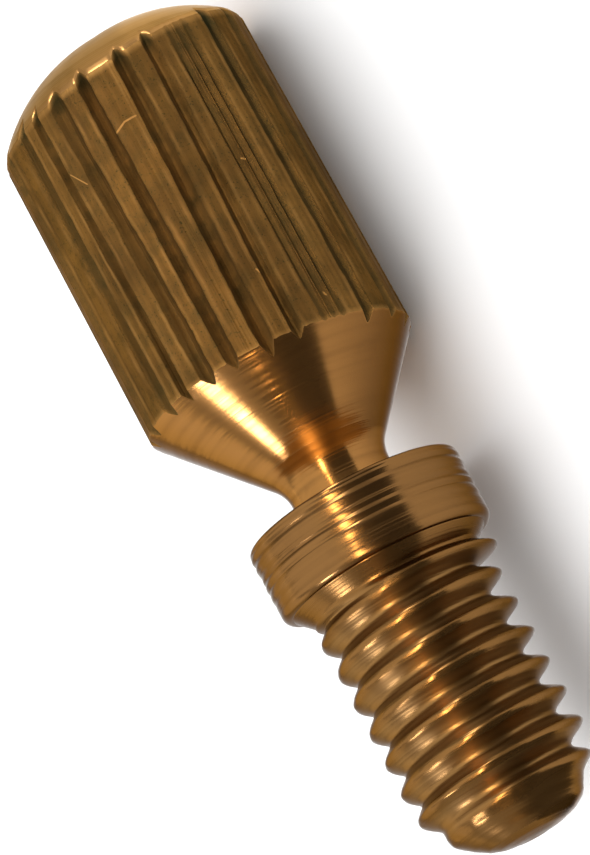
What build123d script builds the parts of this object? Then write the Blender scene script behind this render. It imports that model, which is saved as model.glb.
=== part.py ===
from build123d import *
import math
import os

# A brass thumb screw turned in one piece from knurled bar: a domed knurled head, a cone,
# a thin neck, a collar and an M4 thread with a blunt tip. Millimetres.
# It is shaped along +Z with the crown of the head at zero, and is then laid on its knurl
# with the tip toward +X and its heavy side down, as it comes to rest on a table.

# Head: the knurled bar, how far the knurl reaches before the cone, and the dome
bar_diameter = 6.1
head_length = 8.65
knurl_count = 24
knurl_width = 0.36
knurl_depth = 0.20
dome_radius = 4.0

# The bar ran slightly out of true, so what was turned on it misses its axis
turning_runout_side = 0.01
turning_runout_down = 0.12
dome_runout_side = -0.04
dome_runout_down = 0.18

# Cone under the head, neck and collar
cone_half_angle = 40.6
underhead_length = 3.03
neck_diameter = 2.30
neck_blend = 0.80
collar_diameter = 4.90
collar_length = 1.66
edge_round = 0.08

# Thread: M4 coarse, with a relief under the collar and a blunt tip. Its groove starts at
# an angle around the axis from the side that lies down
thread_diameter = 4.0
thread_pitch = 0.7
thread_length = 6.26
thread_start_angle = -60.0
relief_diameter = 3.70
relief_width = 0.54
relief_fillet = 0.22
tip_length = 1.39
tip_half_angle = 36.5
tip_round = 1.10

# Form of a 60 degree thread groove, as shares of the pitch
flank_angle = 30.0
groove_width_share = 0.875
groove_depth_share = 0.6134

# How far a blank or a cutter reaches past the surface that it shapes
overreach = 0.6
cutter_lift = 0.05

bar_radius = bar_diameter / 2
neck_radius = neck_diameter / 2
collar_radius = collar_diameter / 2
thread_radius = thread_diameter / 2
relief_radius = relief_diameter / 2
collar_top = head_length + underhead_length
collar_bottom = collar_top + collar_length
total_length = collar_bottom + thread_length


def tangent(degrees):
    return math.tan(math.radians(degrees))


def knurled_bar():
    """Bar stock with straight V grooves, one of them exactly on the side that lies down."""
    flare = knurl_width / 2 * (1 + overreach / knurl_depth)
    notch = Polyline(
        (bar_radius - knurl_depth, 0),
        (bar_radius + overreach, flare),
        (bar_radius + overreach, -flare),
        close=True,
    )
    notches = PolarLocations(0, knurl_count) * make_face(notch)
    return extrude(Circle(bar_radius) - notches, total_length)


def dome_envelope():
    """A bullet shape: the ball of the dome, and a wide cylinder from its middle on."""
    outline = Polyline(
        (dome_radius, dome_radius),
        (dome_radius, total_length),
        (0, total_length),
        (0, 0),
    )
    crown = RadiusArc((0, 0), (dome_radius, dome_radius), -dome_radius)
    bullet = revolve(Plane.XZ * make_face(outline + crown), Axis.Z)
    return Pos(dome_runout_down, dome_runout_side, 0) * bullet


def turned_envelope():
    """The shape that the lathe leaves: cone, neck, collar, relief, thread blank and tip."""
    sleeve_radius = bar_radius + overreach
    cone_start = head_length - (sleeve_radius - bar_radius) / tangent(cone_half_angle)
    neck_start = head_length + (bar_radius - neck_radius) / tangent(cone_half_angle)
    relief_step = thread_radius - relief_radius
    tip_radius = thread_radius - tip_length * tangent(tip_half_angle)
    corners = [
        (sleeve_radius, -overreach, 0),
        (sleeve_radius, cone_start, 0),
        (neck_radius, neck_start, neck_blend),
        (neck_radius, collar_top, edge_round),
        (collar_radius, collar_top, edge_round),
        (collar_radius, collar_bottom, edge_round),
        (relief_radius, collar_bottom, relief_fillet),
        (relief_radius, collar_bottom + relief_width - relief_step, 0),
        (thread_radius, collar_bottom + relief_width, 0),
        (thread_radius, total_length - tip_length, 0),
        (tip_radius, total_length, tip_round),
    ]
    points = [(0, -overreach)] + [(radius, height) for radius, height, _ in corners] + [(0, total_length)]
    outline = FilletPolyline(*points, radius=[rounding for _, _, rounding in corners])
    section = make_face(outline + Line(points[-1], points[0]))
    return revolve(Plane.XZ * section, Axis.Z)


def thread_groove():
    """A right-hand V groove that starts clear of the collar and runs out past the tip."""
    depth = groove_depth_share * thread_pitch
    root_radius = thread_radius - depth
    outer_half = groove_width_share * thread_pitch / 2 + cutter_lift * tangent(flank_angle)
    root_half = outer_half - (depth + cutter_lift) * tangent(flank_angle)
    start = collar_bottom + relief_width
    path = Helix(thread_pitch, thread_length - relief_width + thread_pitch, root_radius)
    section = Polyline(
        (root_radius, -root_half),
        (thread_radius + cutter_lift, -outer_half),
        (thread_radius + cutter_lift, outer_half),
        (root_radius, root_half),
        close=True,
    )
    return Pos(0, 0, start) * sweep(Plane.XZ * make_face(section), path=path, is_frenet=True)


def laid_down(screw):
    """Turns the tip toward +X and rests the two lowest knurl ridges on the floor."""
    groove_half_angle = math.asin(knurl_width / 2 / bar_radius)
    axis_height = bar_radius * math.cos(groove_half_angle)
    return Pos(-total_length / 2, 0, axis_height) * Rot(0, 90, 0) * screw


turned = Rot(0, 0, thread_start_angle) * (turned_envelope() - thread_groove())
screw = Pos(turning_runout_down, turning_runout_side, 0) * turned & dome_envelope() & knurled_bar()

os.makedirs("parts", exist_ok=True)
export_step(laid_down(screw), "parts/screw.step")
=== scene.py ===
"""Dresses a small brass thumb screw: knurled head, cone and neck, collar and thread."""
import logging
import math
import random
from collections.abc import Sequence
from dataclasses import dataclass, field
from enum import Enum

import bpy
from mathutils import Matrix, Vector, noise


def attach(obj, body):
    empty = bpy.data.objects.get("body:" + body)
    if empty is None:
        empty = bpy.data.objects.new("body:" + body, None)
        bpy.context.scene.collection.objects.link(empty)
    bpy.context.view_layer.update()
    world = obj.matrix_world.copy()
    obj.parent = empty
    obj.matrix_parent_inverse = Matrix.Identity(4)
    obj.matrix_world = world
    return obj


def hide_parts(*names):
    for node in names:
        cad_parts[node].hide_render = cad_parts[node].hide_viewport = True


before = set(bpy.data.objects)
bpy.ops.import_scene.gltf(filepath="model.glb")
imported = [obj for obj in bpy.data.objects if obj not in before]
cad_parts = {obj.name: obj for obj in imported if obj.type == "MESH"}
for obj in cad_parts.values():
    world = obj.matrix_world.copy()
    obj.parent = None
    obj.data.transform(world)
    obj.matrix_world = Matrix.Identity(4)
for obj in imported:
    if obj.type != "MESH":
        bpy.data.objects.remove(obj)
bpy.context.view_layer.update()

LOG = logging.getLogger("thumb_screw")
MM = 0.001
Colour = tuple[float, float, float, float]

# The crown of the head lies this far from the middle of the screw, in millimetres
CROWN_X = -9.8
# The knurled bar's middle lies this high over the table
BAR_HEIGHT = 3.04469
# The side of the screw that faces the viewer, in degrees from straight up toward +Y
FACING = 56.0
# Where the lathe's axis and the dome's axis miss the bar's axis, along Y and Z
LATHE_MISS = (0.01, -0.12)
DOME_MISS = (-0.04, -0.18)
# Slope of the cone under the head, and where it would reach the bar's radius
CONE_SLOPE = math.tan(math.radians(40.6))
CONE_RIM_X = 8.65
BAR_RADIUS = 3.05
# How far along the axis the head's inner skins meet, inside the neck's blend
INNER_POLE_X = 9.6
# How round the bottom of a knurl groove is: 0 would be a sharp V
GROOVE_BLUNTNESS = 0.22
# Share of the way to each end of a filled groove over which its fill thins out
FILL_REACH = 0.2


def clamp(value: float, low: float = 0.0, high: float = 1.0) -> float:
    """Returns value held between low and high."""
    return max(low, min(high, value))


def ease(value: float) -> float:
    """Returns a smooth step from 0 to 1 as value goes from 0 to 1."""
    held = clamp(value)
    return held * held * (3.0 - 2.0 * held)


def hill(distance: float, width: float) -> float:
    """Returns a bell that is 1 at distance 0 and about 0.4 at one width."""
    return math.exp(-(distance / width) ** 2)


def swing(angle: float, centre: float) -> float:
    """Returns the turn in degrees from centre to angle, between -180 and 180."""
    return (angle - centre + 180.0) % 360.0 - 180.0


def spoke(angle: float) -> tuple[float, float]:
    """Turns an angle about the axis into a direction across it.

    Args:
        angle: Degrees from the side that faces the viewer, growing to the viewer's right.

    Returns:
        The direction's parts along Y and Z.
    """
    turn = math.radians(angle + FACING)
    return math.sin(turn), math.cos(turn)


def from_crown(x: float, y: float, z: float) -> Vector:
    """Places a point of the screw in the row's frame.

    Args:
        x: Millimetres from the crown of the head toward the tip.
        y: Millimetres from the bar's axis along Y.
        z: Millimetres from the bar's axis along Z.

    Returns:
        The point in metres.
    """
    return Vector((x + CROWN_X, y, z + BAR_HEIGHT)) * MM


def grain(x: float, angle: float, along: float, across: float, seed: float) -> float:
    """Returns smooth noise from -1 to 1 that closes up around the axis.

    Args:
        x: Millimetres from the crown.
        angle: Degrees around the axis.
        along: How fast the noise changes along the screw, per millimetre.
        across: How fast it changes around the screw.
        seed: Picks another noise.

    Returns:
        The noise at that place.
    """
    side, up = spoke(angle)
    return noise.noise(Vector((x * along + seed, side * across, up * across + seed)))


class Skin:
    """Rings of points stitched into one closed skin, with a finish for each band."""

    def __init__(self, name: str) -> None:
        """Starts an empty skin.

        Args:
            name: Name of the object that it will become.
        """
        self.name = name
        self.points: list[Vector] = []
        self.faces: list[list[int]] = []
        self.bands: list[int] = []
        self.hollow: list[float] = []
        self.worn: list[float] = []
        # Darkening for each point: real dirt in the knurl's grooves, and painted shade at the grooves'
        # upper ends and on the cone's lower side
        self.dirt_and_shade: list[float] = []
        self.last: list[int] = []

    def _add(self, point: Vector, hollow: float, worn: float, dirt_and_shade: float) -> int:
        """Adds one point.

        Args:
            point: Its place in metres.
            hollow: How deep it lies in a groove, from 0 to 1, which also sets where painted light lifts
                the colour.
            worn: How worn it is, from 0 to 1.
            dirt_and_shade: How much it is darkened, from 0 to 1, by old dirt and by painted shade.

        Returns:
            The point's number.
        """
        self.points.append(point)
        self.hollow.append(hollow)
        self.worn.append(worn)
        self.dirt_and_shade.append(dirt_and_shade)
        return len(self.points) - 1

    def pole(self, point: Vector) -> None:
        """Starts the skin at a single point on the axis."""
        self.last = [self._add(point, 0.0, 0.0, 0.0)]

    def ring(
        self,
        points: Sequence[Vector],
        band: int = 0,
        hollow: Sequence[float] | None = None,
        worn: Sequence[float] | None = None,
        dirt_and_shade: Sequence[float] | None = None,
    ) -> None:
        """Adds a ring and stitches it to the one before.

        Args:
            points: The ring's points, in order around the axis.
            band: Number of the finish on the faces between the two rings.
            hollow: How deep each point lies in a groove, from 0 to 1, which also sets where painted light
                lifts the colour.
            worn: How worn each point is, from 0 to 1.
            dirt_and_shade: How much each point is darkened, from 0 to 1, by old dirt and by painted shade.
        """
        count = len(points)
        deep = hollow or [0.0] * count
        bright = worn or [0.0] * count
        dirt_and_shade_values = dirt_and_shade or [0.0] * count
        ring = [self._add(*values) for values in zip(points, deep, bright, dirt_and_shade_values)]
        for here in range(count):
            there = (here + 1) % count
            if len(self.last) == 1:
                self.faces.append([self.last[0], ring[there], ring[here]])
            else:
                self.faces.append([self.last[here], self.last[there], ring[there], ring[here]])
            self.bands.append(band)
        self.last = ring

    def close(self, point: Vector, band: int = 0) -> None:
        """Ends the skin at a single point on the axis.

        Args:
            point: The point in metres.
            band: Number of the finish on the faces that meet there.
        """
        tip = self._add(point, 0.0, 0.0, 0.0)
        count = len(self.last)
        for here in range(count):
            self.faces.append([self.last[here], self.last[(here + 1) % count], tip])
            self.bands.append(band)

    def build(self, finishes: Sequence[bpy.types.Material], crease: float = 34.0) -> bpy.types.Object:
        """Makes the Blender object.

        Args:
            finishes: The materials, in the order of the bands' numbers.
            crease: Edges that turn by more than this many degrees stay sharp.

        Returns:
            The object, smooth shaded and ready to ride on its body.
        """
        mesh = bpy.data.meshes.new(self.name)
        mesh.from_pydata([tuple(point) for point in self.points], [], self.faces)
        for finish in finishes:
            mesh.materials.append(finish)
        mesh.polygons.foreach_set("material_index", self.bands)
        mesh.polygons.foreach_set("use_smooth", [True] * len(self.faces))
        masks = (("hollow", self.hollow), ("worn", self.worn), ("dirt_and_shade", self.dirt_and_shade))
        for label, values in masks:
            layer = mesh.attributes.new(label, "FLOAT", "POINT")
            layer.data.foreach_set("value", values)
        mesh.update()
        mesh.set_sharp_from_angle(angle=math.radians(crease))
        piece = bpy.data.objects.new(self.name, mesh)
        bpy.context.scene.collection.objects.link(piece)
        return piece


def install(piece: bpy.types.Object) -> bpy.types.Object:
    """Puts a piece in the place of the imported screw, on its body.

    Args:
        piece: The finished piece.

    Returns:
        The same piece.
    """
    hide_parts("screw")
    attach(piece, "root")
    LOG.info("%s: %d faces", piece.name, len(piece.data.polygons))
    return piece


def tint(red: int, green: int, blue: int) -> Colour:
    """Turns a colour as a screen shows it into Blender's linear colour.

    Args:
        red: Red in steps of 255.
        green: Green in steps of 255.
        blue: Blue in steps of 255.

    Returns:
        The linear colour, with full alpha.
    """
    parts = []
    for step in (red, green, blue):
        share = step / 255.0
        parts.append(share / 12.92 if share <= 0.04045 else ((share + 0.055) / 1.055) ** 2.4)
    return (*parts, 1.0)


class Bench:
    """Adds nodes to a tree and wires them together."""

    def __init__(self, tree: bpy.types.NodeTree) -> None:
        """Works on the given tree."""
        self.tree = tree

    def node(self, kind: str, **settings: object) -> bpy.types.Node:
        """Adds a node.

        Args:
            kind: Blender's name for the node's type.
            **settings: Properties to set on it.

        Returns:
            The node.
        """
        made = self.tree.nodes.new(kind)
        for label, value in settings.items():
            setattr(made, label, value)
        return made

    def feed(self, target: bpy.types.NodeSocket, source: object) -> None:
        """Gives a socket a plain value, or wires another socket to it.

        Args:
            target: The input socket.
            source: A value or an output socket.
        """
        if isinstance(source, bpy.types.NodeSocket):
            self.tree.links.new(source, target)
        else:
            target.default_value = source

    def maths(self, operation: str, *terms: object) -> bpy.types.NodeSocket:
        """Adds one Math node.

        Args:
            operation: Blender's name for the operation.
            *terms: Values or sockets, in the order of the node's inputs.

        Returns:
            The socket with the result.
        """
        made = self.node("ShaderNodeMath", operation=operation)
        for socket, term in zip(made.inputs, terms):
            self.feed(socket, term)
        return made.outputs[0]

    def vector(self, operation: str, *terms: object) -> bpy.types.Node:
        """Adds one Vector Math node.

        Args:
            operation: Blender's name for the operation.
            *terms: Vectors or sockets, in the order of the node's inputs.

        Returns:
            The node, whose outputs are a vector and a value.
        """
        made = self.node("ShaderNodeVectorMath", operation=operation)
        for socket, term in zip(made.inputs, terms):
            self.feed(socket, term)
        return made

    def span(self, value: object, low: float, high: float) -> bpy.types.NodeSocket:
        """Maps a span of values onto 0 to 1 with soft ends.

        Args:
            value: A value or a socket.
            low: What becomes 0.
            high: What becomes 1.

        Returns:
            The socket with the result.
        """
        made = self.node("ShaderNodeMapRange", interpolation_type="SMOOTHSTEP")
        self.feed(made.inputs["Value"], value)
        made.inputs["From Min"].default_value = low
        made.inputs["From Max"].default_value = high
        return made.outputs["Result"]

    def blend(self, share: object, first: object, second: object) -> bpy.types.NodeSocket:
        """Mixes two colours.

        Args:
            share: How much of the second colour, from 0 to 1.
            first: A colour or a socket.
            second: A colour or a socket.

        Returns:
            The socket with the mixed colour.
        """
        made = self.node("ShaderNodeMix", data_type="RGBA")
        self.feed(made.inputs[0], share)
        self.feed(made.inputs[6], first)
        self.feed(made.inputs[7], second)
        return made.outputs[2]

    def mask(self, name: str) -> bpy.types.NodeSocket:
        """Reads one of the skin's point masks."""
        return self.node("ShaderNodeAttribute", attribute_name=name).outputs["Fac"]

    def cloud(self, place: object, scale: object, detail: float) -> bpy.types.Node:
        """Adds a Noise texture.

        Args:
            place: The socket with the place to read.
            scale: Its scale, per metre.
            detail: How many finer layers it has.

        Returns:
            The texture's node.
        """
        made = self.node("ShaderNodeTexNoise")
        self.feed(made.inputs["Vector"], place)
        self.feed(made.inputs["Scale"], scale)
        made.inputs["Detail"].default_value = detail
        return made

    def emboss(self, shader: bpy.types.Node, height: bpy.types.NodeSocket, depth: float) -> None:
        """Gives a shader a fine relief.

        Args:
            shader: The Principled BSDF.
            height: The socket with the relief, from 0 to 1.
            depth: Millimetres from 0 to 1.
        """
        bump = self.node("ShaderNodeBump")
        bump.inputs["Distance"].default_value = depth * MM
        self.feed(bump.inputs["Height"], height)
        self.feed(shader.inputs["Normal"], bump.outputs[0])

    def group(self, tree: bpy.types.NodeTree, **values: object) -> bpy.types.Node:
        """Places a node group.

        Args:
            tree: The group.
            **values: A value or socket for each input, named with _ for each space.

        Returns:
            The group's node.
        """
        made = self.node("ShaderNodeGroup", node_tree=tree)
        for label, value in values.items():
            self.feed(made.inputs[label.replace("_", " ")], value)
        return made


def new_group(
    name: str, inputs: dict[str, tuple[str, object]], outputs: Sequence[str]
) -> tuple[Bench, bpy.types.Node, bpy.types.Node]:
    """Makes a shader node group with named sockets.

    Args:
        name: The group's name.
        inputs: For each input, its kind of socket and its first value.
        outputs: Names of the outputs, all of them plain values.

    Returns:
        A bench for the group's tree, its input node and its output node.
    """
    tree = bpy.data.node_groups.new(name, "ShaderNodeTree")
    for label, (kind, value) in inputs.items():
        socket = tree.interface.new_socket(name=label, in_out="INPUT", socket_type=kind)
        socket.default_value = value
    for label in outputs:
        tree.interface.new_socket(name=label, in_out="OUTPUT", socket_type="NodeSocketFloat")
    bench = Bench(tree)
    return bench, bench.node("NodeGroupInput"), bench.node("NodeGroupOutput")


class Effects:
    """The shader node groups that the finishes share, each built once."""

    def __init__(self) -> None:
        """Builds every group."""
        self.lines = self._lines()
        self.blotches = self._blotches()
        self.hairline = self._hairline()

    def _lines(self) -> bpy.types.NodeTree:
        """Builds fine parallel lines: around the screw, or along it.

        Returns:
            A group whose Lines output runs from 0 to 1 at two sizes of line.
        """
        inputs = {
            "Along": ("NodeSocketFloat", 1.0),
            "Across": ("NodeSocketFloat", 1.0),
            "Coarse Share": ("NodeSocketFloat", 0.4),
        }
        bench, given, result = new_group("tool lines", inputs, ["Lines", "Coarse"])
        place = bench.node("ShaderNodeTexCoord")
        stretch = bench.node("ShaderNodeCombineXYZ")
        bench.feed(stretch.inputs[0], given.outputs["Along"])
        bench.feed(stretch.inputs[1], given.outputs["Across"])
        bench.feed(stretch.inputs[2], given.outputs["Across"])
        spread = bench.vector("MULTIPLY", place.outputs["Object"], stretch.outputs[0])
        fine = bench.cloud(spread.outputs[0], 1000.0, 3.0)
        coarse = bench.cloud(spread.outputs[0], 260.0, 2.0)
        wide = bench.span(coarse.outputs["Fac"], 0.3, 0.7)
        thin = bench.span(fine.outputs["Fac"], 0.3, 0.7)
        share = given.outputs["Coarse Share"]
        kept = bench.maths("MULTIPLY", wide, share)
        rest = bench.maths("MULTIPLY", thin, bench.maths("SUBTRACT", 1.0, share))
        bench.feed(result.inputs["Lines"], bench.maths("ADD", kept, rest))
        bench.feed(result.inputs["Coarse"], wide)
        return bench.tree

    def _blotches(self) -> bpy.types.NodeTree:
        """Builds soft uneven patches of tarnish.

        Returns:
            A group whose Patches output is 1 where the tarnish is thick.
        """
        inputs = {
            "Patch Size": ("NodeSocketFloat", 1.0),
            "Cover": ("NodeSocketFloat", 0.5),
        }
        bench, given, result = new_group("tarnish", inputs, ["Patches", "Specks"])
        place = bench.node("ShaderNodeTexCoord")
        scale = bench.maths("DIVIDE", 1000.0, given.outputs["Patch Size"])
        cloud = bench.cloud(place.outputs["Object"], scale, 4.0)
        cloud.inputs["Roughness"].default_value = 0.6
        edge = bench.maths("SUBTRACT", 1.0, given.outputs["Cover"])
        above = bench.maths("SUBTRACT", cloud.outputs["Fac"], edge)
        bench.feed(result.inputs["Patches"], bench.span(above, -0.15, 0.2))
        dust = bench.cloud(place.outputs["Object"], bench.maths("MULTIPLY", scale, 9.0), 2.0)
        bench.feed(result.inputs["Specks"], bench.span(dust.outputs["Fac"], 0.58, 0.74))
        return bench.tree

    def _hairline(self) -> bpy.types.NodeTree:
        """Builds one thin scratch between two points.

        Returns:
            A group whose Scratch output is 1 on the scratch and 0 away from it.
        """
        inputs = {
            "Start": ("NodeSocketVector", (0.0, 0.0, 0.0)),
            "End": ("NodeSocketVector", (0.0, 0.0, 0.0)),
            "Half Width": ("NodeSocketFloat", 0.00003),
        }
        bench, given, result = new_group("hairline scratch", inputs, ["Scratch"])
        place = bench.node("ShaderNodeTexCoord")
        reach = bench.vector("SUBTRACT", given.outputs["End"], given.outputs["Start"])
        here = bench.vector("SUBTRACT", place.outputs["Object"], given.outputs["Start"])
        dot = bench.vector("DOT_PRODUCT", here.outputs[0], reach.outputs[0])
        size = bench.vector("DOT_PRODUCT", reach.outputs[0], reach.outputs[0])
        part = bench.maths("DIVIDE", dot.outputs["Value"], size.outputs["Value"])
        low = bench.maths("MAXIMUM", part, 0.0)
        share = bench.maths("MINIMUM", low, 1.0)
        along = bench.vector("SCALE", reach.outputs[0])
        bench.feed(along.inputs["Scale"], share)
        gap = bench.vector("DISTANCE", here.outputs[0], along.outputs[0])
        ratio = bench.maths("DIVIDE", gap.outputs["Value"], given.outputs["Half Width"])
        inverse = bench.maths("SUBTRACT", 1.0, bench.span(ratio, 0.4, 1.0))
        bench.feed(result.inputs["Scratch"], inverse)
        return bench.tree


def shell_of(name: str, roughness: float, edge: Colour, anisotropy: float) -> tuple[Bench, bpy.types.Node]:
    """Makes a metal material with its plain numbers set.

    Args:
        name: The material's name.
        roughness: Plain roughness, which a finish may wire over.
        edge: Tint of the metal where it is seen at a grazing angle.
        anisotropy: How much a highlight stretches along the screw, across the tool's lines.

    Returns:
        A bench for the material's tree, and its Principled BSDF.
    """
    material = bpy.data.materials.new(name)
    material.use_nodes = True
    bench = Bench(material.node_tree)
    shader = material.node_tree.nodes["Principled BSDF"]
    shader.inputs["Metallic"].default_value = 1.0
    shader.inputs["Roughness"].default_value = roughness
    shader.inputs["Specular Tint"].default_value = edge
    shader.inputs["Anisotropic"].default_value = anisotropy
    # A quarter of a turn makes highlights narrow around the screw and long along it
    shader.inputs["Anisotropic Rotation"].default_value = 0.25
    if anisotropy > 0.0:
        tangent = bench.node("ShaderNodeTangent", direction_type="RADIAL", axis="X")
        bench.feed(shader.inputs["Tangent"], tangent.outputs[0])
    return bench, shader


@dataclass(frozen=True)
class TurnedBrass:
    """Brass as the lathe leaves it, with fine lines around the axis, painted light in its hollows and
    painted shade where its skin is marked dark.

    Attributes:
        name: The material's name.
        bright: Colour where it is clean.
        dull: Colour where it is tarnished.
        inner: Painted light: a lighter colour where it faces other brass, which tints its light twice, to
            lift the shade in the hollows.
        edge: Tint at a grazing angle.
        roughness: Roughness of the clean metal.
        line_depth: Millimetres between the ridges and the floors of the fine lines.
        line_spacing: Millimetres between them, about.
        cover: Share of the metal under tarnish.
        anisotropy: How much a highlight stretches along the screw.
    """

    name: str
    bright: Colour
    dull: Colour
    inner: Colour
    edge: Colour
    roughness: float
    line_depth: float
    line_spacing: float
    cover: float
    anisotropy: float = 0.5

    def material(self, effects: Effects) -> bpy.types.Material:
        """Builds the material.

        Args:
            effects: The shared node groups.

        Returns:
            The material.
        """
        bench, shader = shell_of(self.name, self.roughness, self.edge, self.anisotropy)
        lines = bench.group(effects.lines, Along=1.0 / self.line_spacing, Across=0.03)
        tarnish = bench.group(effects.blotches, Patch_Size=1.6, Cover=self.cover)
        hollow = bench.mask("hollow")
        streak = bench.maths("MULTIPLY", lines.outputs["Coarse"], 0.45)
        patches = bench.maths("MULTIPLY", tarnish.outputs["Patches"], 0.6)
        dirt = bench.maths("ADD", streak, patches)
        dirt = bench.maths("SUBTRACT", dirt, bench.maths("MULTIPLY", bench.mask("worn"), 0.6))
        colour = bench.blend(bench.span(dirt, 0.0, 1.1), self.bright, self.dull)
        # Painted light: the hollows take the lighter inner colour
        colour = bench.blend(hollow, colour, self.inner)
        # Painted shade: pulls the colour toward dull where the skin is marked dark, which among the turned
        # pieces is only the cone's lower side
        colour = bench.blend(bench.mask("dirt_and_shade"), colour, self.dull)
        bench.feed(shader.inputs["Base Color"], colour)
        extra = bench.maths("MULTIPLY", bench.maths("ADD", dirt, hollow), 0.10)
        bench.feed(shader.inputs["Roughness"], bench.maths("ADD", extra, self.roughness))
        bench.emboss(shader, lines.outputs["Lines"], self.line_depth)
        return bpy.data.materials[self.name]


@dataclass(frozen=True)
class Scratch:
    """A thin pale scratch on the knurl.

    Attributes:
        start: Degrees around from the side that faces the viewer, and millimetres from the crown.
        end: The same for its other end.
        half_width: Millimetres from its middle to its edge.
    """

    start: tuple[float, float]
    end: tuple[float, float]
    half_width: float = 0.03

    def ends(self) -> tuple[Vector, Vector]:
        """Finds both ends on the bar's surface.

        Returns:
            The start and the end, in metres.
        """
        places = []
        for angle, x in (self.start, self.end):
            side, up = spoke(angle)
            places.append(from_crown(x, BAR_RADIUS * side, BAR_RADIUS * up))
        return places[0], places[1]


@dataclass(frozen=True)
class KnurlBrass:
    """Dull tarnished brass of the knurl: drawn lines along it, dirt in its grooves, painted light on the
    grooves' floors and painted shade at their upper ends.

    Attributes:
        name: The material's name.
        land: Colour of the lands between the grooves.
        land_dark: Colour of their darker streaks.
        groove: Colour of the grooves' floors, lighter than the lands: painted light that lifts the shade
            in the grooves.
        verdigris: Colour of the dirt and the green patches, and of the painted shade at the grooves' upper
            ends.
        rubbed: Colour where hands and cloth keep it bright.
        edge: Tint at a grazing angle.
        roughness: Roughness of the lands.
        scratches: The thin pale scratches.
        line_depth: Millimetres between the ridges and the floors of the drawn lines.
    """

    name: str
    land: Colour
    land_dark: Colour
    groove: Colour
    verdigris: Colour
    rubbed: Colour
    edge: Colour
    roughness: float
    scratches: tuple[Scratch, ...] = ()
    line_depth: float = 0.012

    def material(self, effects: Effects) -> bpy.types.Material:
        """Builds the material.

        Args:
            effects: The shared node groups.

        Returns:
            The material.
        """
        bench, shader = shell_of(self.name, self.roughness, self.edge, 0.0)
        drawn = bench.group(effects.lines, Along=0.05, Across=9.0)
        tarnish = bench.group(effects.blotches, Patch_Size=1.5, Cover=0.5)
        flecks = bench.group(effects.blotches, Patch_Size=0.45, Cover=0.46)
        shade = bench.maths("MULTIPLY", drawn.outputs["Lines"], 0.55)
        shade = bench.maths("ADD", shade, bench.maths("MULTIPLY", tarnish.outputs["Patches"], 0.55))
        colour = bench.blend(shade, self.land, self.land_dark)
        specks = bench.maths("MULTIPLY", flecks.outputs["Specks"], 0.7)
        olive = bench.maths("MULTIPLY_ADD", flecks.outputs["Patches"], 0.4, specks)
        colour = bench.blend(olive, colour, self.verdigris)
        rough_edge = bench.maths("MULTIPLY", bench.maths("SUBTRACT", drawn.outputs["Lines"], 0.5), 0.5)
        depth = bench.span(bench.maths("ADD", bench.mask("hollow"), rough_edge), 0.12, 0.85)
        green = bench.maths("MULTIPLY", flecks.outputs["Patches"], 0.65)
        # Painted light: the grooves' floors take the lighter groove colour, mixed with green dirt
        painted_light_and_dirt = bench.blend(green, self.groove, self.verdigris)
        colour = bench.blend(depth, colour, painted_light_and_dirt)
        # Verdigris colour where the skin is marked dark: real dirt in the grooves and one green patch, and
        # painted shade at the grooves' upper ends
        colour = bench.blend(bench.mask("dirt_and_shade"), colour, self.verdigris)
        glow = bench.maths("MULTIPLY", bench.mask("worn"), 0.6)
        colour = bench.blend(glow, colour, self.rubbed)
        for scratch in self.scratches:
            start, end = scratch.ends()
            mark = bench.group(effects.hairline, Start=start, End=end, Half_Width=scratch.half_width * MM)
            colour = bench.blend(mark.outputs["Scratch"], colour, self.rubbed)
        bench.feed(shader.inputs["Base Color"], colour)
        dry = bench.maths("MULTIPLY", depth, 0.18)
        dry = bench.maths("ADD", dry, bench.maths("MULTIPLY", shade, 0.12))
        bench.feed(shader.inputs["Roughness"], bench.maths("ADD", dry, self.roughness))
        bench.emboss(shader, drawn.outputs["Lines"], self.line_depth)
        return bpy.data.materials[self.name]


@dataclass(frozen=True)
class Groove:
    """One groove of the knurl.

    Attributes:
        at_dome: Where it starts, in degrees around from the side that faces the viewer.
        at_cone: Where it ends.
        half_width: Degrees from its middle to its edge.
        depth: Millimetres at its middle.
        fill: How much its ends are filled up, from 0 to 1.
        dirt: How thick the dirt lies in it, from 0 to 1.
    """

    at_dome: float
    at_cone: float
    half_width: float
    depth: float
    fill: float = 0.0
    dirt: float = 0.0

    def middle(self, share: float) -> float:
        """Returns where its middle is at a share of the way from dome to cone."""
        return self.at_dome + (self.at_cone - self.at_dome) * ease(share)

    def cut(self, across: float, share: float) -> float:
        """Measures the groove's rounded V.

        Args:
            across: Place across it, from -1 at one edge to 1 at the other.
            share: Place along it, 0 at the dome and 1 at the cone.

        Returns:
            The depth there, in millimetres.
        """
        blunt = GROOVE_BLUNTNESS
        full = math.sqrt(1.0 + blunt * blunt)
        form = (full - math.sqrt(across * across + blunt * blunt)) / (full - blunt)
        ends = 1.0 - self.fill * (1.0 - ease(share / FILL_REACH) * ease((1.0 - share) / FILL_REACH))
        return self.depth * form * ends


# The grooves on the side that faces the viewer, listed one by one
SEEN_GROOVES = (
    Groove(-70.5, -69.5, 4.0, 0.15, 0.0, 0.4),
    Groove(-50.0, -49.4, 3.0, 0.20, 0.0, 0.7),
    Groove(-38.8, -37.2, 2.2, 0.16, 0.0, 0.4),
    Groove(-26.4, -24.4, 3.4, 0.17, 0.0, 0.3),
    Groove(-12.6, -12.4, 2.8, 0.18, 0.0, 0.0),
    Groove(5.0, 2.6, 3.0, 0.20, 0.0, 0.1),
    Groove(18.4, 15.6, 2.7, 0.16, 0.0, 0.1),
    Groove(28.4, 27.8, 1.5, 0.07, 0.6, 0.45),
    Groove(32.6, 32.0, 1.3, 0.05, 0.6, 0.35),
    Groove(36.8, 36.4, 1.5, 0.07, 0.6, 0.45),
    Groove(49.5, 49.2, 3.0, 0.17, 0.0, 0.7),
    Groove(66.0, 66.0, 3.2, 0.13, 0.0, 0.6),
    Groove(82.0, 82.0, 3.0, 0.18, 0.0, 0.2),
)


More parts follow.
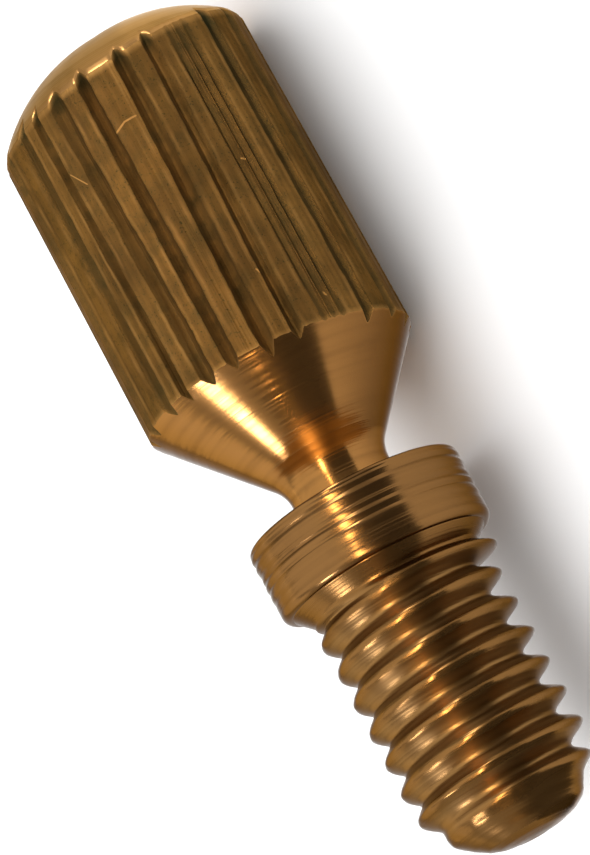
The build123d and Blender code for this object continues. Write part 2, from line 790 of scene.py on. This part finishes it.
@dataclass
class KnurledHead:
    """The domed head: drawn bar with straight grooves, rounded at its free end.

    Attributes:
        lift: How much nearer the crown the rim lies on the viewer's right, per millimetre across.
        bevel: Width of the worn edge around the dome.
        full_depth: Depth at which a groove's mask is 1.
        depth_noise: Share by which a groove's depth wanders.
        groove_sink: How far the grooves' edges lie under the bar's radius.
        land_sink: How far the middles of the lands lie under it.
        land_crown: How much lower a land's edges lie than its middle.
        tip_wear: Share of the barrel at each end where the lands are rubbed bright.
        across: Places of the points across a groove, from edge to edge.
        land_steps: Steps across each land.
        grooves: All the grooves, in order around the head.
    """

    dome_radius: float = 4.0
    lift: float = 0.088
    bevel: float = 0.09
    hidden_count: int = 13
    first_hidden: float = 95.5
    hidden_pitch: float = 15.0
    full_depth: float = 0.2
    depth_noise: float = 0.30
    groove_sink: float = 0.006
    land_sink: float = 0.008
    land_crown: float = 0.022
    tip_wear: float = 0.006
    across: tuple[float, ...] = (-1.0, -0.74, -0.48, -0.22, 0.0, 0.22, 0.48, 0.74, 1.0)
    land_steps: int = 7
    dome_rows: int = 30
    barrel_rows: int = 64
    grooves: list[Groove] = field(init=False)

    def __post_init__(self) -> None:
        """Adds the grooves on the side that is out of sight, a little uneven like the rest."""
        dice = random.Random(24)
        hidden = []
        for number in range(self.hidden_count):
            angle = self.first_hidden + self.hidden_pitch * number + dice.uniform(-1.0, 1.0)
            lean = dice.uniform(-0.8, 0.8)
            width = dice.uniform(2.7, 3.6)
            hidden.append(Groove(angle, angle + lean, width, dice.uniform(0.15, 0.21)))
        self.grooves = [*SEEN_GROOVES, *hidden]

    def half_width(self, groove: Groove, x: float, share: float) -> float:
        """Measures how far a groove spreads to each side of its middle.

        Args:
            groove: The groove.
            x: Millimetres from the crown.
            share: The same place as a share of the barrel, 0 at the dome and 1 at the cone.

        Returns:
            Degrees around the axis.
        """
        middle = groove.middle(share)
        uneven = 0.14 * grain(x, middle, 1.3, 4.0, 3.0) + 0.10 * grain(x, middle, 4.5, 9.0, 13.0)
        return groove.half_width * (1.0 + uneven)

    def columns(self, share: float) -> list[tuple[float, float, float, float, float]]:
        """Lays out one ring of the barrel.

        Args:
            share: How far along the barrel the ring is, 0 at the dome and 1 at the cone.

        Returns:
            For each point its angle, radius, depth mask, wear mask and dirt.
        """
        ring = []
        x = 1.5 + 7.2 * share
        count = len(self.grooves)
        for number, groove in enumerate(self.grooves):
            after = self.grooves[(number + 1) % count]
            middle = groove.middle(share)
            wide = self.half_width(groove, x, share)
            deep = 1.0 + self.depth_noise * grain(x, middle, 1.1, 4.0, 11.0)
            for place in self.across:
                cut = groove.cut(place, share) * deep
                radius = BAR_RADIUS - self.groove_sink - cut
                dirt = groove.dirt * (1.0 - abs(place)) ** 0.4
                ring.append((middle + place * wide, radius, cut / self.full_depth, 0.0, dirt))
            start = middle + wide
            gap = after.middle(share) + (360.0 if number == count - 1 else 0.0)
            gap -= self.half_width(after, x, share)
            for step in range(1, self.land_steps):
                part = step / self.land_steps
                angle = start + (gap - start) * part
                crown = self.land_crown * (2.0 * part - 1.0) ** 4
                drawn = 0.008 * grain(x, angle, 0.10, 26.0, 5.0) + 0.004 * grain(x, angle, 2.5, 30.0, 7.0)
                rub = hill(part - 0.08, 0.10) + hill(part - 0.92, 0.10)
                spot = clamp(0.5 + 1.3 * grain(x, angle, 1.4, 5.0, 21.0))
                radius = BAR_RADIUS - self.land_sink - crown + drawn
                ring.append((angle, radius, 0.0, clamp(rub * spot), 0.0))
        return ring

    def dirt_and_shade_at(self, angle: float, share: float, mask: float) -> float:
        """Works out how dark a place on the barrel is made, by painted shade and by dirt.

        Args:
            angle: Degrees around from the side that faces the viewer.
            share: How far along the barrel the place is, 0 at the dome and 1 at the cone.
            mask: How deep the place lies in a groove, from 0 to 1.

        Returns:
            The darkening from 0 to 1: painted shade at the grooves' upper ends, and dirt in one long
                patch.
        """
        # Painted shade at the upper end of each groove, under the dome's rim
        top = clamp(mask * 2.0) * (1.0 - ease((share - 0.01) / (0.03 + 0.06 * clamp(mask))))
        patch = hill(swing(angle, 49.5), 3.2) * ease(share / 0.03) * (1.0 - ease((share - 0.22) / 0.12))
        return clamp(0.9 * top + 0.85 * patch)

    def dome_x(self, y: float, z: float) -> float:
        """Measures the dome, whose rim lies a little nearer the crown on the viewer's right.

        Args:
            y: Millimetres from the bar's axis along Y.
            z: Millimetres from the bar's axis along Z.

        Returns:
            Millimetres from the crown.
        """
        square = (y - DOME_MISS[0]) ** 2 + (z - DOME_MISS[1]) ** 2
        ball = self.dome_radius - math.sqrt(self.dome_radius**2 - square)
        side, up = spoke(90.0)
        rightward = max(0.0, y * side + z * up)
        return ball - self.lift * rightward * ease(math.sqrt(square) / 1.5)

    def cone_x(self, y: float, z: float) -> float:
        """Returns how far from the crown the cone cuts the barrel at a place across the axis."""
        reach = math.hypot(y - LATHE_MISS[0], z - LATHE_MISS[1])
        return CONE_RIM_X + (BAR_RADIUS - reach) / CONE_SLOPE

    def rim(self, share: float) -> list[tuple[float, float]]:
        """Lays out the ring at one end of the barrel.

        Args:
            share: 0 for the end at the dome and 1 for the end at the cone.

        Returns:
            The ring's places across the axis, along Y and Z.
        """
        places = []
        for angle, radius, *_ in self.columns(share):
            side, up = spoke(angle)
            places.append((radius * side, radius * up))
        return places

    def cone_edge(self) -> list[Vector]:
        """Returns the edge where the cone cuts the knurl, which the cone's own skin shares."""
        return [from_crown(self.cone_x(y, z), y, z) for y, z in self.rim(1.0)]

    def build(self, dome: bpy.types.Material, knurl: bpy.types.Material) -> bpy.types.Object:
        """Builds the head.

        Args:
            dome: Finish of the domed end.
            knurl: Finish of the grooved barrel.

        Returns:
            The head as one closed piece.
        """
        skin = Skin("knurled_head")
        rim = self.rim(0.0)
        skin.pole(from_crown(0.0, *DOME_MISS))
        for row in range(1, self.dome_rows + 1):
            part = math.sin(row / self.dome_rows * math.pi / 2.0)
            part *= 1.0 - self.bevel / BAR_RADIUS
            points = []
            for y, z in rim:
                place_y = DOME_MISS[0] + (y - DOME_MISS[0]) * part
                place_z = DOME_MISS[1] + (z - DOME_MISS[1]) * part
                points.append(from_crown(self.dome_x(place_y, place_z), place_y, place_z))
            skin.ring(points)
        inward = 1.0 - 0.3 * self.bevel / BAR_RADIUS
        edge = [from_crown(self.dome_x(y, z) + 0.2 * self.bevel, y * inward, z * inward) for y, z in rim]
        bright = [0.9 * (1.0 - mask) for _, _, mask, _, _ in self.columns(0.0)]
        skin.ring(edge, 0, None, bright)
        starts = [self.dome_x(y, z) + self.bevel for y, z in rim]
        ends = [self.cone_x(y, z) for y, z in self.rim(1.0)]
        for row in range(self.barrel_rows + 1):
            share = row / self.barrel_rows
            points, masks, wear, dirt_and_shade_marks = [], [], [], []
            for column, (angle, radius, mask, rub, dirt) in enumerate(self.columns(share)):
                side, up = spoke(angle)
                x = starts[column] + (ends[column] - starts[column]) * share
                points.append(from_crown(x, radius * side, radius * up))
                tips = hill(share, self.tip_wear) + hill(share - 1.0, self.tip_wear)
                masks.append(mask)
                wear.append(clamp(rub + 0.8 * tips * (1.0 - mask)))
                # Real dirt in the grooves, and painted shade at their upper ends
                dirt_and_shade_marks.append(max(dirt, self.dirt_and_shade_at(angle, share, mask)))
            skin.ring(points, 1, masks, wear, dirt_and_shade_marks)
        skin.close(from_crown(INNER_POLE_X, *LATHE_MISS), 1)
        return install(skin.build([dome, knurl]))


def around(count: int) -> list[float]:
    """Returns that many angles around the axis, in degrees."""
    return [360.0 * number / count for number in range(count)]


def turned_ring(x: float, radii: Sequence[float]) -> list[Vector]:
    """Makes one ring about the lathe's axis.

    Args:
        x: Millimetres from the crown.
        radii: Millimetres from the lathe's axis, for each point of the ring.

    Returns:
        The ring's points in metres.
    """
    points = []
    for angle, radius in zip(around(len(radii)), radii):
        side, up = spoke(angle)
        points.append(from_crown(x, LATHE_MISS[0] + radius * side, LATHE_MISS[1] + radius * up))
    return points


@dataclass
class ConeAndNeck:
    """The cone that runs from the knurl down to the thin neck.

    Attributes:
        blend_radius: Radius of the hollow between cone and neck.
        dirt_and_shade: How dark the painted shade on the cone's lower side is, from 0 to 1.
        painted_shade_angle: Where the painted shade's middle is, in degrees from the side that faces the
            viewer.
        painted_shade_spread: Degrees from the painted shade's middle to where it has mostly faded.
        tool_marks: Height of the fine rings on the cone, in millimetres.
    """

    neck_radius: float = 1.15
    blend_radius: float = 0.80
    neck_end: float = 11.72
    dirt_and_shade: float = 0.85
    painted_shade_angle: float = 64.0
    painted_shade_spread: float = 38.0
    tool_marks: float = 0.004
    cone_rows: int = 46
    blend_rows: int = 14

    def profile(self) -> list[tuple[float, float]]:
        """Lays out the blend and the neck.

        Returns:
            Places along the axis and away from it, in millimetres.
        """
        slope = math.atan(CONE_SLOPE)
        corner = CONE_RIM_X + (BAR_RADIUS - self.neck_radius) / CONE_SLOPE
        cut = self.blend_radius * math.tan(slope / 2.0)
        middle_x = corner + cut
        middle_r = self.neck_radius + self.blend_radius
        places = []
        for step in range(self.blend_rows + 1):
            turn = slope * (1.0 - step / self.blend_rows)
            x = middle_x - self.blend_radius * math.sin(turn)
            places.append((x, middle_r - self.blend_radius * math.cos(turn)))
        for step in range(1, 5):
            places.append((middle_x + (self.neck_end - middle_x) * step / 4.0, self.neck_radius))
        return places

    def build(self, edge: Sequence[Vector], finish: bpy.types.Material) -> bpy.types.Object:
        """Builds the cone and neck.

        Args:
            edge: The edge where the cone cuts the knurl.
            finish: The turned finish.

        Returns:
            The piece, closed inside the head and inside the collar.
        """
        skin = Skin("cone_and_neck")
        skin.pole(from_crown(INNER_POLE_X, *LATHE_MISS))
        skin.ring(edge)
        flow = self.profile()
        axis = from_crown(0.0, *LATHE_MISS)
        spokes = []
        for point in edge:
            arm = Vector((0.0, point.y - axis.y, point.z - axis.z))
            spokes.append((arm.normalized(), arm.length / MM))
        turned = flow[0][1]
        # Painted shade: the cone's lower side, away from the lamps, is darkened toward its dull colour
        dirt_and_shade_marks = []
        for arm, _ in spokes:
            angle = math.degrees(math.atan2(arm.y, arm.z)) - FACING
            dirt_and_shade_marks.append(self.dirt_and_shade * hill(swing(angle, self.painted_shade_angle), self.painted_shade_spread))
        for row in range(1, self.cone_rows):
            part = row / self.cone_rows
            ring = []
            for arm, reach in spokes:
                radius = reach + (turned - reach) * part
                x = CONE_RIM_X + (BAR_RADIUS - radius) / CONE_SLOPE
                lift = self.tool_marks * noise.noise(Vector((x * 9.0, 0.4, 0.7)))
                lift *= ease(part / 0.1) * ease((1.0 - part) / 0.1)
                ring.append(from_crown(x, *LATHE_MISS) + arm * (radius + lift) * MM)
            skin.ring(ring, 0, None, None, dirt_and_shade_marks)
        for x, radius in flow:
            skin.ring([from_crown(x, *LATHE_MISS) + arm * radius * MM for arm, _ in spokes])
        skin.close(from_crown(self.neck_end, *LATHE_MISS))
        return install(skin.build([finish]))


@dataclass(frozen=True)
class Ridge:
    """A ring around the collar that the tool left: raised if its height is above 0."""

    x: float
    height: float
    width: float


@dataclass
class Collar:
    """The collar under the neck, with coarse tool rings on its upper half."""

    top: float = 11.68
    bottom: float = 13.34
    radius: float = 2.45
    neck_radius: float = 1.15
    edge_round: float = 0.08
    lower_round: float = 0.19
    inset: float = 0.012
    columns: int = 288
    side_rows: int = 90
    ridges: tuple[Ridge, ...] = (
        Ridge(11.84, 0.020, 0.05),
        Ridge(11.94, -0.030, 0.05),
        Ridge(12.05, 0.018, 0.05),
        Ridge(12.22, -0.022, 0.06),
        Ridge(12.40, -0.030, 0.04),
        Ridge(12.50, 0.016, 0.04),
        Ridge(12.60, -0.024, 0.04),
        Ridge(12.74, 0.012, 0.05),
        Ridge(12.86, -0.014, 0.05),
        Ridge(13.10, -0.008, 0.06),
    )

    def swell(self, x: float, angle: float) -> float:
        """Measures how far the tool's rings lift the side.

        Args:
            x: Millimetres from the crown.
            angle: Degrees around from the side that faces the viewer.

        Returns:
            The lift in millimetres.
        """
        lift = sum(ridge.height * hill(x - ridge.x, ridge.width) for ridge in self.ridges)
        uneven = 0.75 + 0.5 * grain(x, angle, 3.0, 1.2, 8.0)
        fine = 0.003 * noise.noise(Vector((x * 22.0, 0.3, 0.9)))
        return lift * uneven + fine

    def build(self, finish: bpy.types.Material) -> bpy.types.Object:
        """Builds the collar with its rounded edges as one closed piece.

        Args:
            finish: The turned finish.

        Returns:
            The collar, closed inside the neck and inside the thread.
        """
        skin = Skin("collar")
        round_off = self.edge_round
        inset = self.inset

        def add_ring(x: float, radius: float, hollow: float = 0.0, worn: float = 0.0) -> None:
            """Adds one even ring with its masks."""
            count = self.columns
            skin.ring(turned_ring(x, [radius] * count), 0, [hollow] * count, [worn] * count)

        skin.pole(from_crown(self.top - 0.1, *LATHE_MISS))
        add_ring(self.top - 0.1, self.neck_radius - 0.02)
        for step in range(5):
            turn = math.pi / 2.0 * step / 4.0
            x = self.top - round_off * (1.0 - math.sin(turn))
            add_ring(x, self.neck_radius + round_off * (1.0 - math.cos(turn)) - 0.004)
        inner = self.neck_radius + round_off
        outer = self.radius - round_off
        # Painted light: the top face under the neck is marked hollow, so that it takes the collar's far
        # lighter inner colour
        for step in range(1, 9):
            radius = inner + (outer - inner) * step / 8.0
            lift = 0.004 * noise.noise(Vector((radius * 14.0, 0.1, 0.2)))
            add_ring(self.top + lift * (step < 8), radius, hollow=0.9)
        for step in range(1, 6):
            turn = math.pi / 2.0 * step / 5.0
            x = self.top + round_off * (1.0 - math.cos(turn))
            add_ring(x, outer + round_off * math.sin(turn) - inset * step / 5.0, worn=0.8)
        start = self.top + round_off
        end = self.bottom - self.lower_round
        for row in range(1, self.side_rows + 1):
            x = start + (end - start) * row / self.side_rows
            fade = ease(row / 6.0) * ease((self.side_rows - row) / 6.0)
            radii = [self.radius - inset + self.swell(x, angle) * fade for angle in around(self.columns)]
            skin.ring(turned_ring(x, radii))
        lower = self.radius - self.lower_round
        for step in range(1, 11):
            turn = math.pi / 2.0 * step / 10.0
            x = end + self.lower_round * math.sin(turn)
            radius = lower + self.lower_round * math.cos(turn) - inset * (1.0 - step / 10.0)
            add_ring(x, radius, worn=0.3)
        for radius in (2.15, 2.0, 1.8, 1.6):
            add_ring(self.bottom, radius)
        skin.close(from_crown(self.bottom, *LATHE_MISS))
        return install(skin.build([finish]))


@dataclass
class MachineThread:
    """The M4 thread with the relief above it, its first burr and its blunt tip.

    Attributes:
        phase: Where around the screw the groove starts, in degrees from the side that faces the viewer.
        lag: How far the thread runs behind on the viewer's left, in millimetres.
        crest_rise: How much higher its crests stand on the viewer's right than in the middle.
        depth_right: How much deeper it is cut on the viewer's right than in the middle.
        depth_near: How much shallower it is cut on the side that faces the viewer.
        tip: Places along the axis, and the radius at each.
    """

    pitch: float = 0.7
    radius: float = 2.0
    depth: float = 0.35
    collar_end: float = 13.34
    groove_start: float = 13.88
    relief_radius: float = 1.85
    phase: float = 197.0
    lag: float = 0.03
    crest_rise: float = 0.03
    depth_right: float = 0.08
    depth_near: float = 0.05
    burr_x: float = 13.86
    burr_height: float = 0.20
    flare_length: float = 0.34
    flare_height: float = 0.40
    columns: int = 288
    rows_per_pitch: int = 26
    fine_rows_x: float = 19.3
    tip: tuple[tuple[float, float], ...] = (
        (18.08, 2.01),
        (18.24, 1.99),
        (18.42, 1.90),
        (18.72, 1.75),
        (19.03, 1.52),
        (19.30, 1.26),
        (19.46, 1.02),
        (19.55, 0.75),
        (19.597, 0.38),
    )

    def envelope(self, x: float) -> float:
        """Measures the blank that the thread is cut in.

        Args:
            x: Millimetres from the crown.

        Returns:
            The radius there, in millimetres.
        """
        if x <= self.tip[0][0]:
            return self.radius
        for (x_a, r_a), (x_b, r_b) in zip(self.tip, self.tip[1:]):
            if x <= x_b:
                return r_a + (r_b - r_a) * (x - x_a) / (x_b - x_a)
        return self.tip[-1][1]

    def groove(self, x: float, angle: float) -> tuple[float, float]:
        """Measures the thread's groove at a place.

        Args:
            x: Millimetres from the crown.
            angle: Degrees around from the side that faces the viewer.

        Returns:
            How far the surface lies below the crest, from 0 to 1, and how near it is to one.
        """
        right = math.sin(math.radians(angle))
        lead = self.groove_start + self.pitch * (self.phase - angle) / 360.0
        turns = (x - lead - self.lag * (1.0 - right)) / self.pitch
        away = abs(turns - round(turns)) * 2.0
        wave = 0.5 + 0.5 * math.cos(math.pi * away)
        return wave, ease((away - 0.60) / 0.30)

    def left_share(self, angle: float) -> float:
        """Returns how far to the viewer's left a place is, from 0 to 1."""
        return hill(swing(angle, -50.0), 62.0)

    def flare(self, x: float, angle: float) -> float:
        """Measures the slope that the tool left between the collar and the relief.

        Args:
            x: Millimetres from the crown.
            angle: Degrees around from the side that faces the viewer.

        Returns:
            How far it lifts the surface there, in millimetres.
        """
        left = self.left_share(angle)
        height = self.flare_height + 0.02 * left
        part = clamp((x - self.collar_end) / (self.flare_length + 0.14 * left))
        return height * (1.0 - part) * (1.0 - 0.25 * part * left)

    def reach(self, x: float, angle: float) -> tuple[float, float, float]:
        """Works out the surface at a place.

        Args:
            x: Millimetres from the crown.
            angle: Degrees around from the side that faces the viewer.

        Returns:
            The radius, the mask for the painted light in the groove and the wear mask.
        """
        cut, crest = self.groove(x, angle)
        start = self.groove_start - 0.16 + 0.12 * math.cos(math.radians(angle - 90.0))
        fade_in = ease((x - start) / 0.3)
        fade_out = 1.0 - 0.75 * ease((x - 18.35) / 0.7)
        wobble = 0.030 * grain(x, angle, 1.6, 1.5, 2.0) + 0.012 * grain(x, angle, 7.0, 6.0, 4.0)
        right, near = math.sin(math.radians(angle)), math.cos(math.radians(angle))
        crest_height = self.envelope(x) - 0.004 + wobble * crest + self.crest_rise * (1.0 + right)
        depth = self.depth + self.depth_right * right - self.depth_near * near
        threaded = crest_height - depth * cut * fade_in * fade_out
        # Painted light: a mask that lifts the flanks and roots toward the thread's lighter inner colour
        inner = ease(cut * 1.6) * (1.0 - 0.4 * ease((cut - 0.6) / 0.4)) * fade_in * fade_out
        if x >= self.groove_start + 0.4:
            return threaded, inner, clamp(crest * fade_in * (0.35 + 4.0 * wobble))
        side = hill(swing(angle, 95.0), 55.0)
        relief = self.relief_radius + 0.12 * side + 0.11 * self.left_share(angle)
        relief += 0.01 * grain(x, angle, 3.0, 2.0, 6.0)
        burr = self.burr_height * side * hill(x - self.burr_x, 0.10)
        rise = ease((x - (self.groove_start - 0.17)) / 0.14)
        radius = relief + (threaded - relief) * rise + burr
        lift = self.flare(x, angle)
        if lift > 0.0:
            radius = max(radius, self.relief_radius + lift)
        return radius, inner, clamp(burr * 2.0)

    def build(self, finish: bpy.types.Material) -> bpy.types.Object:
        """Builds the relief, thread and tip as one closed piece.

        Args:
            finish: The turned finish.

        Returns:
            The piece, closed inside the collar and at its end.
        """
        skin = Skin("machine_thread")
        skin.pole(from_crown(self.collar_end - 0.15, *LATHE_MISS))
        skin.ring(turned_ring(self.collar_end - 0.15, [self.relief_radius] * self.columns))
        x = self.collar_end - 0.03
        step = self.pitch / self.rows_per_pitch
        last_x, last_radius = self.tip[-1]
        while x < last_x - 0.004:
            places = [self.reach(x, angle) for angle in around(self.columns)]
            radii, masks, wear = (list(values) for values in zip(*places))
            skin.ring(turned_ring(x, radii), 0, masks, wear)
            x += step if x < self.fine_rows_x else step * 0.5
        skin.ring(turned_ring(last_x, [last_radius] * self.columns))
        skin.close(from_crown(last_x, *LATHE_MISS))
        return install(skin.build([finish], 50.0))


def facing(place: Vector, way: Vector) -> Matrix:
    """Returns the transform that sets a thing at a place with its Z axis along a way."""
    return Matrix.Translation(place) @ way.to_track_quat("Z", "Y").to_matrix().to_4x4()


def flat_sheet(name: str, width: float, height: float, finish: bpy.types.Material) -> bpy.types.Object:
    """Makes a flat sheet around the origin.

    Args:
        name: The sheet's name.
        width: Millimetres along X.
        height: Millimetres along Y.
        finish: Its material.

    Returns:
        The sheet.
    """
    wide, tall = width / 2.0 * MM, height / 2.0 * MM
    mesh = bpy.data.meshes.new(name)
    corners = [(-wide, -tall, 0.0), (wide, -tall, 0.0), (wide, tall, 0.0), (-wide, tall, 0.0)]
    mesh.from_pydata(corners, [], [[0, 1, 2, 3]])
    mesh.materials.append(finish)
    sheet = bpy.data.objects.new(name, mesh)
    bpy.context.scene.collection.objects.link(sheet)
    return sheet


class Seen(Enum):
    """Which rays meet a card or lamp."""

    REFLECTIONS = "reflections"
    LIGHT_AND_REFLECTIONS = "light and reflections"


@dataclass(frozen=True)
class Lamp:
    """A soft square or oblong lamp that faces the screw.

    Attributes:
        name: The lamp's name.
        toward: Way from the place that it lights to the lamp.
        distance: Millimetres between the two.
        size: Millimetres across, both ways.
        level: Its brightness, where 1 is as bright as white paper.
        colour: Its tint.
        aim: The place that it lights, in millimetres.
        seen: Which rays meet it.
    """

    name: str
    toward: tuple[float, float, float]
    distance: float
    size: tuple[float, float]
    level: float
    colour: tuple[float, float, float] = (1.0, 1.0, 1.0)
    aim: tuple[float, float, float] = (0.0, 0.0, 3.0)
    seen: Seen = Seen.REFLECTIONS

    def build(self) -> bpy.types.Object:
        """Makes the lamp.

        Returns:
            The lamp, out of the camera's sight.
        """
        light = bpy.data.lights.new(self.name, "AREA")
        light.shape = "RECTANGLE"
        light.size = self.size[0] * MM
        light.size_y = self.size[1] * MM
        light.energy = self.level * math.pi * light.size * light.size_y
        light.color = self.colour
        lamp = bpy.data.objects.new(self.name, light)
        way = Vector(self.toward).normalized()
        centre = Vector(self.aim) * MM
        lamp.matrix_world = facing(centre + way * self.distance * MM, way)
        lamp.visible_camera = False
        if self.seen is Seen.REFLECTIONS:
            lamp.visible_diffuse = False
        bpy.context.scene.collection.objects.link(lamp)
        return lamp


@dataclass(frozen=True)
class DarkCard:
    """A dark card that only reflections meet, as a studio uses to shape metal."""

    name: str
    centre: tuple[float, float, float]
    facing: tuple[float, float, float]
    size: tuple[float, float]

    def build(self, finish: bpy.types.Material) -> bpy.types.Object:
        """Makes the card.

        Args:
            finish: Its material.

        Returns:
            The card, out of the camera's sight and casting no shadow.
        """
        card = flat_sheet(self.name, *self.size, finish)
        card.matrix_world = facing(Vector(self.centre) * MM, Vector(self.facing))
        card.visible_camera = False
        card.visible_diffuse = False
        card.visible_shadow = False
        return card


# Way to the strip lamps that draw the gold line along the screw, and their tint
STRIP_WAY = (0.0, 0.62, 0.76)
STRIP_GOLD = (1.0, 0.80, 0.54)


@dataclass
class Studio:
    """A pale table under a large soft lamp, with small lamps for the metal's glints."""

    floor_size: float = 2000.0
    floor_shade: float = 0.88
    card_shade: float = 0.17
    room_light: float = 1.0
    lamps: tuple[Lamp, ...] = (
        Lamp("overhead", (-0.10, -0.10, 0.98), 90.0, (150.0, 150.0), 1.3, seen=Seen.LIGHT_AND_REFLECTIONS),
        Lamp("left_fill", (0.10, -0.92, 0.36), 90.0, (150.0, 60.0), 1.38, (1.0, 0.98, 0.95)),
        Lamp("bounce", (0.0, 0.0, -1.0), 3.0, (60.0, 32.0), 0.66, aim=(0.0, 13.0, 3.02)),
        Lamp("white_glint", (0.78, -0.225, 0.58), 60.0, (11.0, 11.0), 46.0, (0.95, 1.0, 1.2)),
        Lamp("strip", STRIP_WAY, 60.0, (109.0, 4.0), 26.0, STRIP_GOLD, (40.0, 0.0, 3.0)),
        Lamp("thread_strip", STRIP_WAY, 59.0, (84.0, 6.0), 32.0, STRIP_GOLD, (50.0, 0.0, 3.0)),
        Lamp("tip_strip", STRIP_WAY, 60.0, (70.0, 3.0), 9.0, (1.0, 0.8, 0.5), (130.0, 0.0, 3.0)),
        Lamp("dome_strip", (0.0, 0.64, 0.76), 60.0, (100.0, 22.0), 30.0, aim=(-120.0, 0.0, 3.0)),
    )
    cards: tuple[DarkCard, ...] = (
        DarkCard("side_card", (8.0, 16.0, 8.4), (0.0, -1.0, 0.0), (24.0, 16.0)),
        DarkCard("tip_card", (24.0, 9.4, 9.2), (-0.92, -0.38, 0.0), (20.0, 18.0)),
        DarkCard("low_card", (18.5, 8.0, 0.15), (0.0, 0.0, 1.0), (16.0, 20.0)),
    )

    def matt(self, name: str, shade: float) -> bpy.types.Material:
        """Makes a plain matt grey.

        Args:
            name: The material's name.
            shade: 0 for black and 1 for white.

        Returns:
            The material.
        """
        material = bpy.data.materials.new(name)
        material.use_nodes = True
        shader = material.node_tree.nodes["Principled BSDF"]
        shader.inputs["Base Color"].default_value = (shade, shade, shade, 1.0)
        shader.inputs["Roughness"].default_value = 1.0
        shader.inputs["Specular IOR Level"].default_value = 0.0
        return material

    def lay_floor(self) -> bpy.types.Object:
        """Lays the table that the screw rests on."""
        white = self.matt("table white", self.floor_shade)
        return flat_sheet("table", self.floor_size, self.floor_size, white)

    def light_room(self) -> None:
        """Makes the room plain white, as a backdrop, in reflections and as light."""
        world = bpy.data.worlds.new("room")
        world.use_nodes = True
        bpy.context.scene.world = world
        background = world.node_tree.nodes["Background"]
        background.inputs["Color"].default_value = (1.0, 1.0, 1.0, 1.0)
        background.inputs["Strength"].default_value = self.room_light

    def build(self) -> None:
        """Sets up the table, the room, the lamps and the cards."""
        self.lay_floor()
        self.light_room()
        for lamp in self.lamps:
            lamp.build()
        dark = self.matt("card grey", self.card_shade)
        for card in self.cards:
            card.build(dark)
        bpy.context.scene.view_settings.view_transform = "Standard"


@dataclass(frozen=True)
class Viewpoint:
    """The photographer's place: above and to one side, looking down on the screw."""

    place: tuple[float, float, float] = (17.036, 54.68, 39.787)
    aim: tuple[float, float, float] = (-0.158, -0.1487, 3.1788)
    lens: float = 135.85
    lean: float = 28.47

    def build(self) -> bpy.types.Object:
        """Makes the camera so that the screw leans down to the right in the picture.

        Returns:
            The scene's camera.
        """
        data = bpy.data.cameras.new("viewpoint")
        data.sensor_width = 36.0
        data.lens = self.lens
        data.clip_start = 0.002
        data.clip_end = 20.0
        camera = bpy.data.objects.new("viewpoint", data)
        forward = (Vector(self.aim) - Vector(self.place)).normalized()
        tipward = Vector((1.0, 0.0, 0.0))
        tipward = (tipward - forward * tipward.dot(forward)).normalized()
        side = forward.cross(tipward)
        lean = math.radians(self.lean)
        right = tipward * math.sin(lean) - side * math.cos(lean)
        down = tipward * math.cos(lean) + side * math.sin(lean)
        turn = Matrix((right, -down, -forward)).transposed().to_4x4()
        camera.matrix_world = Matrix.Translation(Vector(self.place) * MM) @ turn
        bpy.context.scene.collection.objects.link(camera)
        bpy.context.scene.camera = camera
        return camera


# Tint of tarnished brass at a grazing angle, which keeps its edges warm against white
WARM_EDGE = (0.50, 0.47, 0.45, 1.0)
DOME_BRASS = TurnedBrass(
    "dome brass",
    bright=tint(136, 100, 58),
    dull=tint(104, 74, 38),
    inner=tint(136, 100, 58),
    edge=(0.8, 0.68, 0.5, 1.0),
    roughness=0.30,
    line_depth=0.004,
    line_spacing=0.10,
    cover=0.45,
    anisotropy=0.2,
)
KNURL_BRASS = KnurlBrass(
    "knurl brass",
    land=tint(97, 69, 32),
    land_dark=tint(68, 48, 23),
    # Painted light: the grooves' floors are lighter than the lands, to lift their shade
    groove=tint(105, 76, 38),
    verdigris=tint(40, 37, 20),
    rubbed=tint(136, 100, 54),
    edge=WARM_EDGE,
    roughness=0.50,
    scratches=(
        Scratch((-13.0, 3.15), (-5.0, 2.95)),
        Scratch((-5.0, 2.95), (0.0, 2.95)),
        Scratch((27.0, 4.67), (33.0, 4.83)),
        Scratch((-36.0, 3.20), (-31.0, 3.61), 0.02),
        Scratch((12.6, 7.10), (13.4, 7.18)),
        Scratch((32.6, 8.08), (33.4, 8.16)),
    ),
)
CONE_BRASS = TurnedBrass(
    "cone brass",
    bright=tint(122, 85, 44),
    dull=tint(90, 61, 31),
    inner=tint(122, 85, 44),
    edge=WARM_EDGE,
    roughness=0.17,
    line_depth=0.004,
    line_spacing=0.06,
    cover=0.35,
)
COLLAR_BRASS = TurnedBrass(
    "collar brass",
    bright=tint(102, 72, 39),
    dull=tint(78, 54, 29),
    # Painted light: the collar's top face is painted far lighter than its side
    inner=tint(212, 174, 116),
    edge=WARM_EDGE,
    roughness=0.19,
    line_depth=0.005,
    line_spacing=0.05,
    cover=0.45,
)
THREAD_BRASS = TurnedBrass(
    "thread brass",
    bright=tint(101, 71, 37),
    dull=tint(78, 54, 28),
    # Painted light: lighter flanks and roots lift the shade in the thread's grooves
    inner=tint(114, 85, 49),
    edge=WARM_EDGE,
    roughness=0.25,
    line_depth=0.006,
    line_spacing=0.06,
    cover=0.4,
    anisotropy=0.6,
)


def dress_screw() -> None:
    """Builds the screw's pieces in their finishes, from the head to the tip."""
    effects = Effects()
    head = KnurledHead()
    head.build(DOME_BRASS.material(effects), KNURL_BRASS.material(effects))
    ConeAndNeck().build(head.cone_edge(), CONE_BRASS.material(effects))
    Collar().build(COLLAR_BRASS.material(effects))
    MachineThread().build(THREAD_BRASS.material(effects))


def main() -> None:
    """Builds the viewpoint, the screw and the studio, in that order."""
    logging.basicConfig(level=logging.INFO, format="%(name)s: %(message)s")
    Viewpoint().build()
    dress_screw()
    Studio().build()


if __name__ == "__main__":
    main()
